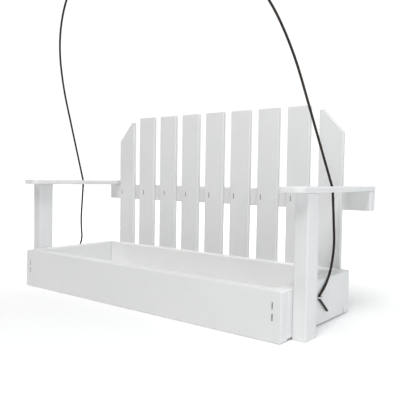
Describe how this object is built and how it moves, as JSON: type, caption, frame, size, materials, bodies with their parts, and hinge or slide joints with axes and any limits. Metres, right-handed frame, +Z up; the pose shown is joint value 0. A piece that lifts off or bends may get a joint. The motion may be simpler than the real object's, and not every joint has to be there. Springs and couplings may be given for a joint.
{
  "type": "porch swing seat",
  "caption": "Small hanging tray shaped like a slatted porch swing seat, with armrests and a bent wire hanger that tips back and forth.",
  "frame": {"origin": "middle of the tray in plan, on the plane that the tray stands on", "axes": "+Z up; -Y towards the open front of the seat, +Y towards the slatted back; +X towards the seat's right end as seen from the front"},
  "size_m": [0.3881, 0.178, 0.3706],
  "materials": {
    "white_board": "satin",
    "coated_wire": "satin",
    "staple_steel": "satin"
  },
  "bodies": {
    "seat": {"front_board": "white_board", "back_board": "white_board", "end_board_left": "white_board", "end_board_right": "white_board", "floor_panel": "white_board", "arm_post_left": "white_board", "arm_post_right": "white_board", "armrest_left": "white_board", "armrest_right": "white_board", "back_rail": "white_board", "back_slat_1": "white_board", "back_slat_2": "white_board", "back_slat_3": "white_board", "back_slat_4": "white_board", "back_slat_5": "white_board", "back_slat_6": "white_board", "back_slat_7": "white_board", "back_slat_8": "white_board", "back_slat_9": "white_board", "hanger_leg_left": "coated_wire", "hanger_leg_right": "coated_wire", "front_board_staples": "staple_steel", "rail_staples": "staple_steel", "slat_foot_staples": "staple_steel", "floor_staples": "staple_steel", "post_staples": "staple_steel", "armrest_staples": "staple_steel", "wire_staples": "staple_steel"},
    "hanger": {"hanger_arch": "coated_wire"}
  },
  "joints": [
    {"name": "hanger_swing", "type": "hinge", "parent": "seat", "child": "hanger", "pos_m": [0, 0.0193, 0.127], "axis": [-1, 0, 0], "range_deg": [0, 48]}
  ]
}
